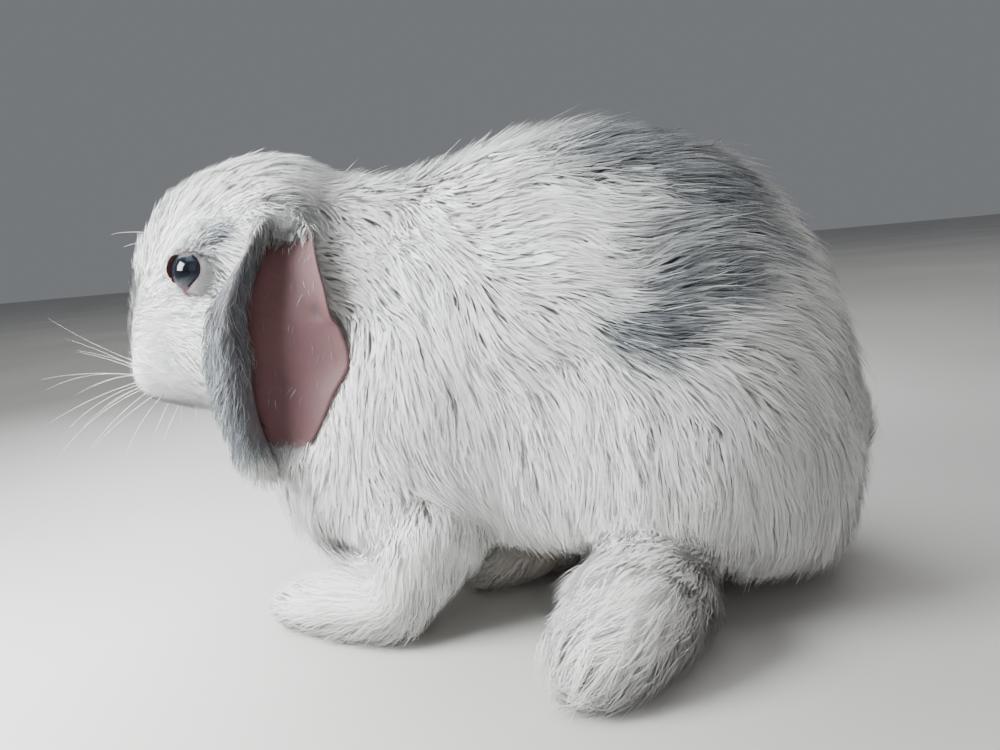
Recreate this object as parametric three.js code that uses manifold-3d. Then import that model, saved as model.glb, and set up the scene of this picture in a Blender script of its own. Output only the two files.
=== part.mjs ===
// A lop-eared rabbit crouching on level ground, modelled life-size as a still figure out to the tips of its
// coat: one solid for each named part of the body. Millimetres, +Z up; the rabbit faces -Y and its left
// side is towards +X. Its weight rests on small flats under the paws, the hind feet and the rump.
import * as THREE from "three";
import { mergeVertices } from "three/addons/utils/BufferGeometryUtils.js";
import Module from "manifold-3d";

const wasm = await Module();
wasm.setup();

// ---------------------------------------------------------------- driving dimensions
const GAP = 0.4; // clearance between neighbouring parts
const EYE_RADIUS = 8.6;
const EYE_CENTRE = { x: 26, y: -112, z: 146 };

// How finely each shape is divided: rings along it and spokes around it.
const BODY_MESH = [20, 22];
const HEAD_MESH = [18, 22];
const LIMB_MESH = [10, 12];
const EAR_MESH = [12, 16];
const BALL_MESH = [9, 14];

// Neck and trunk, from inside the skull to the rump. Each station is a slanting ring: its top and bottom
// [y, z], its half width, and how far up the ring it is widest.
const BODY_STATIONS = [
  { top: [-96, 152], bottom: [-96, 118], half: 12, widest: 0.5 }, // inside the skull
  { top: [-62, 182], bottom: [-101, 82], half: 40, widest: 0.45 }, // nape and throat
  { top: [-42, 180], bottom: [-94, 52], half: 48, widest: 0.42 }, // neck and breast
  { top: [-18, 183], bottom: [-76, 30], half: 55, widest: 0.4 }, // withers and brisket
  { top: [6, 190], bottom: [-36, 24], half: 62, widest: 0.4 }, // ribs
  { top: [34, 194], bottom: [8, 20], half: 69, widest: 0.4 }, // back and belly
  { top: [64, 189], bottom: [46, 12], half: 75, widest: 0.38 }, // loin and groin
  { top: [96, 177], bottom: [80, 3], half: 75, widest: 0.38 }, // hips
  { top: [123, 151], bottom: [106, -2], half: 66, widest: 0.4 }, // rump
  { top: [138, 119], bottom: [127, -2], half: 50, widest: 0.42 }, // seat
  { top: [145, 86], bottom: [138, 8], half: 34, widest: 0.5 },
  { top: [147, 56], bottom: [144, 40], half: 12, widest: 0.5 }, // tail head
];

// Head, from the nose to the back of the skull, in the same terms.
const HEAD_STATIONS = [
  { top: [-152, 111], bottom: [-150, 103], half: 5, widest: 0.5 }, // nose
  { top: [-153, 118], bottom: [-146, 97], half: 12, widest: 0.45 }, // upper lip
  { top: [-152, 127], bottom: [-137, 91], half: 17.5, widest: 0.4 }, // chin
  { top: [-150, 139], bottom: [-124, 87], half: 22, widest: 0.38 }, // bridge and jaw
  { top: [-145, 155], bottom: [-111, 85], half: 27.5, widest: 0.34 },
  { top: [-135, 172], bottom: [-98, 86], half: 33, widest: 0.32 }, // forehead and cheek
  { top: [-118, 184], bottom: [-85, 92], half: 37, widest: 0.34 },
  { top: [-96, 191], bottom: [-74, 104], half: 38, widest: 0.42 }, // crown
  { top: [-74, 190], bottom: [-64, 120], half: 34, widest: 0.5 },
  { top: [-56, 181], bottom: [-53, 140], half: 23, widest: 0.5 }, // back of the skull
];

// Limbs: points down the middle of each with its half width and half height there, from the body outwards.
const LIMBS = {
  foreleg_left: [
    { at: [42, -26, 46], wide: 20, high: 24 },
    { at: [45, -36, 31], wide: 19, high: 20 },
    { at: [46, -46, 20], wide: 17, high: 16 },
  ],
  forepaw_left: [
    { at: [46, -46, 16], wide: 18, high: 17 },
    { at: [40, -61, 14], wide: 18, high: 16 },
    { at: [32, -77, 11], wide: 17, high: 13 },
    { at: [25, -91, 8], wide: 15, high: 9.5 },
  ],
  foreleg_right: [
    { at: [-34, -8, 50], wide: 20, high: 24 },
    { at: [-20, 8, 34], wide: 17, high: 17 },
    { at: [-6, 18, 20], wide: 15, high: 14 },
  ],
  forepaw_right: [
    { at: [-5, 20, 15], wide: 15, high: 15 },
    { at: [1, 8, 13], wide: 16, high: 15 },
    { at: [6, -5, 10], wide: 15, high: 12 },
    { at: [9, -16, 8], wide: 13, high: 9.5 },
  ],
  hindfoot_left: [
    { at: [50, 58, 16], wide: 18, high: 18 },
    { at: [62, 49, 20], wide: 23, high: 22 },
    { at: [75, 39, 19], wide: 25, high: 22 },
    { at: [86, 29, 14], wide: 22, high: 16 },
    { at: [93, 21, 10], wide: 18, high: 12 },
  ],
  hindfoot_right: [
    { at: [-48, 88, 16], wide: 18, high: 18 },
    { at: [-58, 68, 20], wide: 22, high: 21 },
    { at: [-66, 47, 18], wide: 24, high: 21 },
    { at: [-71, 30, 14], wide: 21, high: 16 },
    { at: [-73, 18, 10], wide: 17, high: 12 },
  ],
};

// ---------------------------------------------------------------- splines and closed lofts
// Catmull-Rom through evenly spaced values, t from 0 to 1; works on numbers and on lists of numbers.
function along(values, t) {
  if (Array.isArray(values[0])) return values[0].map((_, i) => along(values.map((v) => v[i]), t));
  const last = values.length - 1;
  const i = Math.min(Math.floor(t * last), last - 1);
  const u = t * last - i;
  const [a, b, c, d] = [i - 1, i, i + 1, i + 2].map((k) => values[Math.max(0, Math.min(last, k))]);
  return b + 0.5 * u * (c - a + u * (2 * a - 5 * b + 4 * c - d + u * (3 * (b - c) + d - a)));
}

// A closed mesh from rings of points, with a pole at each end.
function closedLoft(ringAt, [rings, spokes], startPole, endPole) {
  const position = [...startPole];
  for (let i = 0; i < rings; i++) {
    for (let j = 0; j < spokes; j++) position.push(...ringAt(i / (rings - 1), (2 * Math.PI * j) / spokes));
  }
  position.push(...endPole);
  const index = [];
  const vertex = (i, j) => 1 + i * spokes + (j % spokes);
  for (let j = 0; j < spokes; j++) {
    index.push(0, vertex(0, j + 1), vertex(0, j));
    index.push(1 + rings * spokes, vertex(rings - 1, j), vertex(rings - 1, j + 1));
    for (let i = 0; i < rings - 1; i++) {
      index.push(vertex(i, j), vertex(i, j + 1), vertex(i + 1, j));
      index.push(vertex(i + 1, j), vertex(i, j + 1), vertex(i + 1, j + 1));
    }
  }
  const geometry = new THREE.BufferGeometry();
  geometry.setAttribute("position", new THREE.BufferAttribute(new Float32Array(position), 3));
  geometry.setIndex(index);
  return geometry;
}

// A point on a rounded square: a circle at power 2, squarer above it.
function rounded(angle, power) {
  const ends = [Math.cos(angle), Math.sin(angle)];
  return ends.map((v) => Math.sign(v) * Math.abs(v) ** (2 / power));
}

// A mass of flesh through slanting ring stations. swell(point) may push its points outwards, and the lower
// half of each ring is a rounded square of the given power.
function ringLoft(stations, mesh, swell, square) {
  const tops = stations.map((s) => s.top);
  const bottoms = stations.map((s) => s.bottom);
  const halves = stations.map((s) => s.half);
  const widests = stations.map((s) => s.widest);
  const ringAt = (t, turn) => {
    const angle = -turn;
    const [topY, topZ] = along(tops, t);
    const [bottomY, bottomZ] = along(bottoms, t);
    const level = along(widests, t);
    const centre = new THREE.Vector3(0, bottomY + level * (topY - bottomY), bottomZ + level * (topZ - bottomZ));
    const height = new THREE.Vector3(0, topY - bottomY, topZ - bottomZ);
    const above = Math.sin(angle) > 0;
    const [across, rise] = rounded(angle, above ? 2 : square);
    const point = new THREE.Vector3(along(halves, t) * across, 0, 0).add(centre);
    point.addScaledVector(height, rise * (above ? 1 - level : level));
    const outwards = point.clone().sub(centre).normalize();
    point.addScaledVector(outwards, swell(point));
    return point.toArray();
  };
  const pole = ({ top, bottom, half }, away) => [0, (top[0] + bottom[0]) / 2 + (away * half) / 4, (top[1] + bottom[1]) / 2];
  return closedLoft(ringAt, mesh, pole(stations[0], -1), pole(stations.at(-1), 1));
}

// The share of a limb's rings in each rounded end, and how far round that end its last ring lies.
const CAP_SHARE = 0.22;
const CAP_TURN = 1.35;

// A limb along its middle line, rounded off at both ends, and grown all round.
function limbLoft(points, grow) {
  const middles = points.map((p) => p.at);
  const sizes = points.map((p) => [p.wide, p.high]);
  const frameAt = (t) => {
    const centre = new THREE.Vector3(...along(middles, t));
    const ahead = new THREE.Vector3(...along(middles, Math.min(1, t + 0.01)));
    const tangent = ahead.sub(new THREE.Vector3(...along(middles, Math.max(0, t - 0.01)))).normalize();
    const side = new THREE.Vector3(0, 0, 1).cross(tangent).normalize();
    return { centre, tangent, side, up: tangent.clone().cross(side) };
  };
  const ringAt = (u, angle) => {
    const t = Math.max(0, Math.min(1, (u - CAP_SHARE) / (1 - 2 * CAP_SHARE)));
    const beyond = (u - Math.max(CAP_SHARE, Math.min(1 - CAP_SHARE, u))) / CAP_SHARE;
    const { centre, tangent, side, up } = frameAt(t);
    const [wide, high] = along(sizes, t).map((s) => s + grow);
    const turn = beyond * CAP_TURN;
    const point = centre.addScaledVector(tangent, Math.sin(turn) * high);
    point.addScaledVector(side, Math.cos(angle) * wide * Math.cos(turn));
    point.addScaledVector(up, Math.sin(angle) * high * Math.cos(turn));
    return point.toArray();
  };
  const pole = (t, away) => {
    const { centre, tangent } = frameAt(t);
    return centre.addScaledVector(tangent, away * (along(sizes, t)[1] + grow)).toArray();
  };
  return closedLoft(ringAt, LIMB_MESH, pole(0, -1), pole(1, 1));
}

// A smooth hump: 1 at the centre, 0 from the radius outwards.
function hump(point, centre, radius) {
  const d = Math.hypot(point.x - centre.x, point.y - centre.y, point.z - centre.z) / radius;
  return d < 1 ? (1 - d * d) ** 2 : 0;
}

const mirrored = (at) => ({ x: -at.x, y: at.y, z: at.z });
const bothSides = (at) => [at, mirrored(at)];

// ---------------------------------------------------------------- solids
// A three.js geometry as a solid, and back.
function solidOf(geometry) {
  const bare = geometry.clone();
  bare.deleteAttribute("normal");
  bare.deleteAttribute("uv");
  const merged = mergeVertices(bare, 1e-4);
  return new wasm.Manifold(
    new wasm.Mesh({
      numProp: 3,
      vertProperties: merged.attributes.position.array,
      triVerts: new Uint32Array(merged.index.array),
    }),
  );
}

// The main body of a cut solid, without the slivers that a cut leaves beside it.
function mainBody(solid) {
  return solid.decompose().reduce((best, piece) => (piece.volume() > best.volume() ? piece : best));
}

function geometryOf(solid) {
  const mesh = solid.getMesh();
  const geometry = new THREE.BufferGeometry();
  geometry.setAttribute("position", new THREE.BufferAttribute(new Float32Array(mesh.vertProperties), 3));
  geometry.setIndex(new THREE.BufferAttribute(new Uint32Array(mesh.triVerts), 1));
  geometry.computeVertexNormals();
  return geometry;
}

function ball(centre, radii) {
  const [rows, columns] = BALL_MESH;
  const geometry = new THREE.SphereGeometry(1, columns, rows);
  return geometry.scale(radii[0], radii[1], radii[2]).translate(centre.x, centre.y, centre.z);
}

// ---------------------------------------------------------------- the masses of the body
const BODY_HUMPS = [
  { at: { x: 62, y: 62, z: 60 }, rise: 9, radius: 62 }, // haunch
  { at: { x: 46, y: -52, z: 88 }, rise: 5, radius: 46 }, // shoulder
  { at: { x: 42, y: -42, z: 42 }, rise: 9, radius: 40 }, // long coat over the elbow
];
const HEAD_HUMPS = [
  { at: EYE_CENTRE, rise: -3, radius: 20 }, // socket
  { at: { x: 12, y: -144, z: 103 }, rise: 3.5, radius: 15 }, // whisker pad
  { at: { x: 26, y: -124, z: 161 }, rise: 2, radius: 15 }, // brow
  { at: { x: 30, y: -102, z: 112 }, rise: 3, radius: 26 }, // cheek
  { at: { x: 31, y: -77, z: 168 }, rise: 5, radius: 24 }, // ear root
];

const swellOf = (humps) => (point) => {
  const pushes = humps.flatMap(({ at, rise, radius }) => bothSides(at).map((side) => rise * hump(point, side, radius)));
  return pushes.reduce((sum, push) => sum + push);
};

const bodySolid = () => solidOf(ringLoft(BODY_STATIONS, BODY_MESH, swellOf(BODY_HUMPS), 2.5));
const headSolid = () => solidOf(ringLoft(HEAD_STATIONS, HEAD_MESH, swellOf(HEAD_HUMPS), 2.15));
const limbSolid = (name, grow) => solidOf(limbLoft(LIMBS[name], grow));

// ---------------------------------------------------------------- ears
// Down the middle of the left ear from its root in the skull to the tip: half width, thickness with its fur,
// depth of the hollow, and how far the furry front edge stands up over that.
const EAR_STATIONS = [
  { at: [27, -76, 171], half: 8, thick: 14, cup: 0, roll: 0 },
  { at: [34, -77, 163], half: 12, thick: 14, cup: 0, roll: 0 },
  { at: [40, -78, 152], half: 15, thick: 10, cup: 4, roll: 2 },
  { at: [44, -79, 140], half: 19.5, thick: 7, cup: 8, roll: 4.5 },
  { at: [48, -80, 124], half: 24.5, thick: 6, cup: 8, roll: 4.5 },
  { at: [50, -82, 108], half: 25.5, thick: 6, cup: 8, roll: 4.5 },
  { at: [50, -86, 92], half: 20, thick: 6, cup: 7, roll: 4 },
  { at: [49, -88, 77], half: 10.5, thick: 5, cup: 3, roll: 2 },
];

// opening is 1 where the hollow faces outwards, -1 where it lies against the cheek.
function earLoft(side, opening, grow) {
  const middles = EAR_STATIONS.map((s) => s.at);
  const sizes = EAR_STATIONS.map((s) => [s.half, s.thick, s.cup, s.roll]);
  const pointAt = (t, across, face) => {
    const [x, y, z] = along(middles, t);
    const [half, thick, cup, roll] = along(sizes, t);
    const level = Math.sqrt(Math.max(0, 1 - across * across));
    const hollow = cup * (across * across - 0.3) + (opening > 0 ? 0 : 0.85 * cup * opening);
    const edge = across < 0 && face > 0 ? roll * level * Math.exp(-(((across + 0.72) / 0.22) ** 2)) : 0;
    const skin = face * (thick / 2 + grow) * Math.min(1, 0.1 + 1.6 * level);
    const sweep = 1.5 * across; // the back edge stands a little further out
    return [side * (x + sweep + opening * (hollow + skin + edge)), y + across * (half + grow), z];
  };
  const ringAt = (t, turn) => {
    const angle = side * opening * turn;
    return pointAt(t, Math.cos(angle), Math.sin(angle) >= 0 ? 1 : -1);
  };
  const pole = ({ at: [x, y, z] }, away) => [side * x, y, z + away * (3 + grow)];
  return closedLoft(ringAt, EAR_MESH, pole(EAR_STATIONS[0], 1), pole(EAR_STATIONS.at(-1), -1));
}

// ---------------------------------------------------------------- joining and parting
const earOpening = { left: 1, right: -1 };
const sideOf = { left: 1, right: -1 };
const floor = solidOf(new THREE.BoxGeometry(1000, 1000, 200).translate(0, 0, -100));

// One side of a slanting cut across the body: everything beyond the plane, less half the clearance.
function beyond(centre, direction) {
  const box = new THREE.BoxGeometry(600, 600, 600).translate(0, 0, 300 + GAP / 2);
  const turn = new THREE.Quaternion().setFromUnitVectors(new THREE.Vector3(0, 0, 1), direction.clone().normalize());
  return solidOf(box.applyQuaternion(turn).translate(centre.x, centre.y, centre.z));
}

const THIGH = { at: { x: 74, y: 57, z: 58 }, radii: [48, 54, 60] };
const UPPER_FORELEG = { at: { x: 56, y: -46, z: 74 }, radii: [30, 33, 50] };
const TAIL = { at: { x: 0, y: 144, z: 58 }, radii: [19, 14.5, 27] };
const NAPE = { at: { x: 0, y: -62, z: 170 }, towardsRump: new THREE.Vector3(0, 97, -37) };
const WITHERS = { at: { x: 0, y: -57, z: 110 }, towardsRump: new THREE.Vector3(0, 139, -54) };

const behind = (plane) => beyond(plane.at, plane.towardsRump);
const before = (plane) => beyond(plane.at, plane.towardsRump.clone().negate());

function region(shape, side, grow) {
  const at = { ...shape.at, x: shape.at.x * side };
  return solidOf(ball(at, shape.radii.map((r) => r + grow)));
}

function eye(side, grow) {
  const at = { ...EYE_CENTRE, x: EYE_CENTRE.x * side };
  return solidOf(ball(at, Array(3).fill(EYE_RADIUS + grow)));
}

const solids = new Map();
let whole = headSolid().add(bodySolid());
for (const [name, side] of Object.entries(sideOf)) {
  const ear = (grow) => solidOf(earLoft(side, earOpening[name], grow));
  solids.set("eye_" + name, eye(side, 0));
  solids.set("ear_" + name, ear(0));
  whole = whole.subtract(eye(side, GAP)).subtract(ear(GAP));
}
for (const name of Object.keys(sideOf)) {
  const foot = "hindfoot_" + name;
  const paw = "forepaw_" + name;
  const leg = "foreleg_" + name;
  solids.set(paw, limbSolid(paw, 0));
  solids.set(leg, limbSolid(leg, 0).subtract(limbSolid(paw, GAP)));
  solids.set(foot, limbSolid(foot, 0));
  for (const limb of [foot, paw, leg]) whole = whole.subtract(limbSolid(limb, GAP));
}
for (const [name, side] of Object.entries(sideOf)) {
  for (const [part, shape] of Object.entries({ thigh: THIGH, upper_foreleg: UPPER_FORELEG })) {
    solids.set(part + "_" + name, whole.intersect(region(shape, side, 0)));
    whole = whole.subtract(region(shape, side, GAP));
  }
}
solids.set("tail", region(TAIL, 1, 0));
whole = whole.subtract(region(TAIL, 1, GAP));
solids.set("head", whole.intersect(before(NAPE)));
solids.set("neck", whole.intersect(behind(NAPE)).intersect(before(WITHERS)));
solids.set("trunk", whole.intersect(behind(WITHERS)));

// ---------------------------------------------------------------- the figure
const FINISH = {
  coat: new THREE.MeshStandardMaterial({ name: "coat", color: 0xe9e6e1, roughness: 0.95, metalness: 0 }),
  ear: new THREE.MeshStandardMaterial({ name: "ear", color: 0x9d9fa6, roughness: 0.9, metalness: 0 }),
  eye: new THREE.MeshStandardMaterial({ name: "eye", color: 0x1b2430, roughness: 0.08, metalness: 0 }),
};

const rabbit = new THREE.Group();
rabbit.name = "lop_rabbit";
const box = new THREE.Box3();
for (const [name, solid] of solids) {
  const geometry = geometryOf(mainBody(solid.subtract(floor)));
  const mesh = new THREE.Mesh(geometry, FINISH[name.split("_")[0]] ?? FINISH.coat);
  mesh.name = name;
  rabbit.add(mesh);
  box.expandByObject(mesh);
}
const middle = box.getCenter(new THREE.Vector3());
rabbit.position.set(-middle.x, -middle.y, 0);

export default rabbit;
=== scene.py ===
import math

import bpy
import numpy as np
from mathutils import Matrix, Vector
from mathutils.bvhtree import BVHTree
from mathutils.kdtree import KDTree


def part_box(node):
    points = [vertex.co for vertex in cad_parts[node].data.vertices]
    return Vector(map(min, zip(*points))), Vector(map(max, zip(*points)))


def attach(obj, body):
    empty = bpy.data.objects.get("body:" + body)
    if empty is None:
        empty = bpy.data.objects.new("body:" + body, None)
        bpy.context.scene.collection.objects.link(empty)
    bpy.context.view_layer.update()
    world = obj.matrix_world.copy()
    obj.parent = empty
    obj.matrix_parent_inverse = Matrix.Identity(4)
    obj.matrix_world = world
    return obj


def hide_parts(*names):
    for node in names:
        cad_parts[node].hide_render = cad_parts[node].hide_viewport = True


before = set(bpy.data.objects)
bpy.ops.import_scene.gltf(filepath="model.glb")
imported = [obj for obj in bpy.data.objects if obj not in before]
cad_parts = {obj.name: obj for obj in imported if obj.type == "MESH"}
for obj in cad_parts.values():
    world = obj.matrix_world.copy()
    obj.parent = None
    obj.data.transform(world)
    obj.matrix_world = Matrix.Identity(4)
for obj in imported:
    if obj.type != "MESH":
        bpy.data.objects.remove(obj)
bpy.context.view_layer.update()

MM = 0.001
SIDES = {"left": 1.0, "right": -1.0}


# Places in the frame
def box_of(node):
    low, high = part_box(node)
    return np.array(low) / MM, np.array(high) / MM


EYE_AT = {side: sum(box_of("eye_" + side)) / 2 for side in SIDES}
EYE_RADIUS = np.subtract(*reversed(box_of("eye_left")))[2] / 2
EYES_IN_PLAN = np.array([0.0, -112.0, 146.0])
HOME = (EYE_AT["left"] + EYE_AT["right"]) / 2 - EYES_IN_PLAN


def at(x, y, z):
    """A place in the body's own plan: x from the mid-plane, y and z as in the part's frame."""
    return HOME + np.array([x, y, z], float)


def plan(points, mirror=True):
    """Points in the body's own plan, with both sides brought onto the left one."""
    moved = points - HOME
    if mirror:
        moved[:, 0] = np.abs(moved[:, 0])
    return moved


# Arithmetic on arrays
def lengths(vectors):
    return np.linalg.norm(vectors, axis=-1)


def unit(vectors):
    return vectors / np.maximum(lengths(vectors), 1e-9)[..., None]


def angles_round(count):
    return np.linspace(0, 2 * math.pi, count, endpoint=False)


def smoothstep(low, high, value):
    t = np.clip((value - low) / (high - low), 0, 1)
    return t * t * (3 - 2 * t)


def mixed(a, b, share):
    return a + (b - a) * share


def bell(value):
    """1 at 0, falling away smoothly on both sides."""
    return np.exp(-(value**2))


def along_surface(vectors, normals):
    """Vectors without their part along the normals."""
    return vectors - normals * (vectors * normals).sum(axis=1, keepdims=True)


def turned(vectors, axes, angle):
    """Vectors turned about axes at right angles to them."""
    return vectors * np.cos(angle)[:, None] + np.cross(axes, vectors) * np.sin(angle)[:, None]


RIPPLE_WAVES = 7


def ripple(points, size, seed):
    """Smooth noise between about -1 and 1, with waves about as long as size."""
    draw = np.random.default_rng(seed)
    waves = unit(draw.normal(size=(RIPPLE_WAVES, 3))) * draw.uniform(0.6, 1.5, (RIPPLE_WAVES, 1))
    phases = draw.uniform(0, 2 * math.pi, RIPPLE_WAVES)
    total = np.sin(points @ (waves.T * 2 * math.pi / size) + phases).sum(axis=1)
    return total / math.sqrt(RIPPLE_WAVES)


def curve_at(values, t):
    """Catmull-Rom through evenly spaced rows, at every t from 0 to 1."""
    rows = np.asarray(values, float)
    last = len(rows) - 1
    place = np.clip(t, 0, 1) * last
    i = np.minimum(place.astype(int), last - 1)
    u = (place - i).reshape(-1, *[1] * (rows.ndim - 1))
    a, b, c, d = (rows[np.clip(i + k, 0, last)] for k in (-1, 0, 1, 2))
    return b + 0.5 * u * (c - a + u * (2 * a - 5 * b + 4 * c - d + u * (3 * (b - c) + d - a)))


# Triangle meshes as arrays
def edge_keys(faces, count):
    """Each triangle's three edges, every edge as one number."""
    pairs = np.sort(np.stack([faces, np.roll(faces, -1, axis=1)], axis=2), axis=2)
    return pairs[..., 0].astype(np.int64) * count + pairs[..., 1]


def edges_of(faces, count):
    keys = np.unique(edge_keys(faces, count))
    return np.stack([keys // count, keys % count], axis=1)


def summed(index, values, count):
    return np.stack([np.bincount(index, values[:, c], count) for c in range(values.shape[1])], axis=1)


def spread(values, edges, rounds, share=0.5):
    """Values at the vertices, each moved towards the mean of its neighbours, round after round."""
    flat = values.reshape(len(values), -1).astype(float)
    near = np.maximum(np.bincount(edges.ravel(), minlength=len(flat)), 1)[:, None]
    for _ in range(rounds):
        total = summed(edges[:, 0], flat[edges[:, 1]], len(flat))
        total += summed(edges[:, 1], flat[edges[:, 0]], len(flat))
        flat = flat + share * (total / near - flat)
    return flat.reshape(values.shape)


def eased(points, edges, rounds):
    """Taubin smoothing: as spread, without the shrinking."""
    for _ in range(rounds):
        points = spread(points, edges, 1, 0.52)
        points = spread(points, edges, 1, -0.54)
    return points


def face_vectors(points, faces):
    """Each triangle's normal, as long as twice its area."""
    a, b, c = (points[faces[:, k]] for k in range(3))
    return np.cross(b - a, c - a)


def normals_of(points, faces):
    flat = np.repeat(face_vectors(points, faces), 3, axis=0)
    return unit(summed(faces.ravel(), flat, len(points)))


def middles_of(points, faces):
    return points[faces].mean(axis=1)


def tree_of(points, faces):
    return BVHTree.FromPolygons(points.tolist(), faces.tolist())


def nearest_on(tree, points):
    """The nearest place on a surface to each point, and the face that it is on."""
    found = [tree.find_nearest(p) for p in points.tolist()]
    return np.array([f[0] for f in found]), np.array([f[2] for f in found])


def refined(points, faces, chosen):
    """Splits each chosen triangle in four, and its neighbours so that they still meet it."""
    count = len(points)
    keys = edge_keys(faces, count)
    cut = np.unique(keys[chosen])
    marked = np.isin(keys, cut)
    while (marked.sum(axis=1) == 2).any():
        cut = np.unique(np.concatenate([cut, keys[marked.sum(axis=1) == 2].ravel()]))
        marked = np.isin(keys, cut)
    added = (points[cut // count] + points[cut % count]) / 2
    middle = np.searchsorted(cut, keys) + count
    whole, once, fully = (marked.sum(axis=1) == k for k in (0, 1, 3))
    a, b, c = faces[fully].T
    ab, bc, ca = middle[fully].T
    corners = [(a, ab, ca), (ab, b, bc), (ca, bc, c), (ab, bc, ca)]
    turn = np.argmax(marked[once], axis=1)
    rows = np.arange(len(turn))
    a, b, c = (faces[once][rows, (turn + k) % 3] for k in range(3))
    halfway = middle[once][rows, turn]
    corners += [(a, halfway, c), (halfway, b, c)]
    pieces = [faces[whole]] + [np.stack(three, axis=1) for three in corners]
    return np.concatenate([points, added]), np.concatenate(pieces)


def arrays_of(mesh):
    """A mesh's vertices in millimetres and its triangles."""
    mesh.calc_loop_triangles()
    points = np.empty(len(mesh.vertices) * 3)
    mesh.vertices.foreach_get("co", points)
    faces = np.empty(len(mesh.loop_triangles) * 3, np.int32)
    mesh.loop_triangles.foreach_get("vertices", faces)
    return points.reshape(-1, 3) / MM, faces.reshape(-1, 3)


def node_arrays(node):
    """A CAD node's welded vertices and triangles."""
    points, faces = arrays_of(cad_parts[node].data)
    points, index = np.unique(np.round(points, 3), axis=0, return_inverse=True)
    return points, index.reshape(-1)[faces]


def placed(name, data):
    """A new object in the scene."""
    thing = bpy.data.objects.new(name, data)
    bpy.context.scene.collection.objects.link(thing)
    return thing


def mesh_object(name, points, faces, material=None):
    mesh = bpy.data.meshes.new(name)
    mesh.vertices.add(len(points))
    mesh.vertices.foreach_set("co", (points * MM).astype(np.float32).ravel())
    mesh.loops.add(faces.size)
    mesh.loops.foreach_set("vertex_index", faces.astype(np.int32).ravel())
    mesh.polygons.add(len(faces))
    mesh.polygons.foreach_set("loop_start", np.arange(0, faces.size, 3, dtype=np.int32))
    mesh.update(calc_edges=True)
    if material:
        mesh.materials.append(material)
    return placed(name, mesh)


def arrays_after(thing):
    """An object's arrays with its modifiers applied, after which the object is deleted."""
    bpy.context.view_layer.update()
    done = thing.evaluated_get(bpy.context.evaluated_depsgraph_get())
    points, faces = arrays_of(done.to_mesh())
    done.to_mesh_clear()
    bpy.data.objects.remove(thing)
    return points, faces


def remeshed(points, faces, voxel):
    """One closed surface round everything the faces enclose."""
    thing = mesh_object("remesh", points, faces)
    step = thing.modifiers.new("remesh", "REMESH")
    step.mode = "VOXEL"
    step.voxel_size = voxel * MM
    return largest_piece(*arrays_after(thing))


def largest_piece(points, faces):
    edges = edges_of(faces, len(points))
    label = np.arange(len(points))
    while True:
        low = np.minimum(label[edges[:, 0]], label[edges[:, 1]])
        after = label.copy()
        np.minimum.at(after, edges[:, 0], low)
        np.minimum.at(after, edges[:, 1], low)
        after = after[after]
        if (after == label).all():
            break
        label = after
    kept = label == np.bincount(label).argmax()
    index = np.cumsum(kept) - 1
    return points[kept], index[faces[kept[faces[:, 0]]]]


class Surface:
    """A closed surface, with values by name at its vertices."""

    def __init__(self, points, faces):
        self.points = points
        self.faces = faces
        self.normals = normals_of(points, faces)
        self.edges = edges_of(faces, len(points))
        self.tree = tree_of(points, faces)
        self.values = {}

    def on_faces(self, values, index):
        return values[self.faces[index]].mean(axis=1)

    def normal(self, index):
        return unit(self.on_faces(self.normals, index))

    def value(self, name, index):
        return self.on_faces(self.values[name], index)

    def at_roots(self, values, spots):
        """Values at places in faces: the faces' numbers and the shares of their corners."""
        index, shares = spots
        return np.einsum("ij...,ij->i...", values[self.faces[index]], shares)


def joined(meshes):
    points, faces, count = [], [], 0
    for own_points, own_faces in meshes:
        points.append(own_points)
        faces.append(own_faces + count)
        count += len(own_points)
    return np.concatenate(points), np.concatenate(faces)


def loft_faces(rings, spokes):
    """Triangles of a loft of rings between two poles, which are the first and the last vertex."""
    i, j = np.meshgrid(np.arange(rings - 1), np.arange(spokes), indexing="ij")
    a = 1 + i * spokes + j
    b = 1 + i * spokes + (j + 1) % spokes
    quads = np.stack([a, b, b + spokes, a + spokes], axis=-1).reshape(-1, 4)
    first = 1 + np.arange(spokes)
    after = 1 + (np.arange(spokes) + 1) % spokes
    last = (rings - 1) * spokes
    start = np.stack([np.zeros(spokes, int), after, first], axis=1)
    end = np.stack([np.full(spokes, 1 + rings * spokes), first + last, after + last], axis=1)
    return np.concatenate([start, quads[:, [0, 1, 2]], quads[:, [0, 2, 3]], end])


def outward(points, faces):
    """The same faces, turned to face out."""
    a, b, c = (points[faces[:, k]] for k in range(3))
    volume = np.einsum("ij,ij->", a, np.cross(b, c))
    return faces if volume > 0 else faces[:, ::-1]


def add_values(thing, name, values):
    attribute = thing.data.attributes.new(name, "FLOAT", "POINT")
    attribute.data.foreach_set("value", np.asarray(values, np.float32))


def ball(centre, radii, rings=14, spokes=20):
    """A closed ellipsoid."""
    polar = np.linspace(0, math.pi, rings + 2)[1:-1, None]
    spin = angles_round(spokes)[None]
    flat = [np.sin(polar) * np.cos(spin), np.sin(polar) * np.sin(spin), np.cos(polar) + 0 * spin]
    points = np.concatenate([[(0, 0, 1)], np.stack(flat, axis=-1).reshape(-1, 3), [(0, 0, -1)]])
    faces = loft_faces(rings, spokes)
    return points * radii + centre, outward(points, faces)


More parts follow.
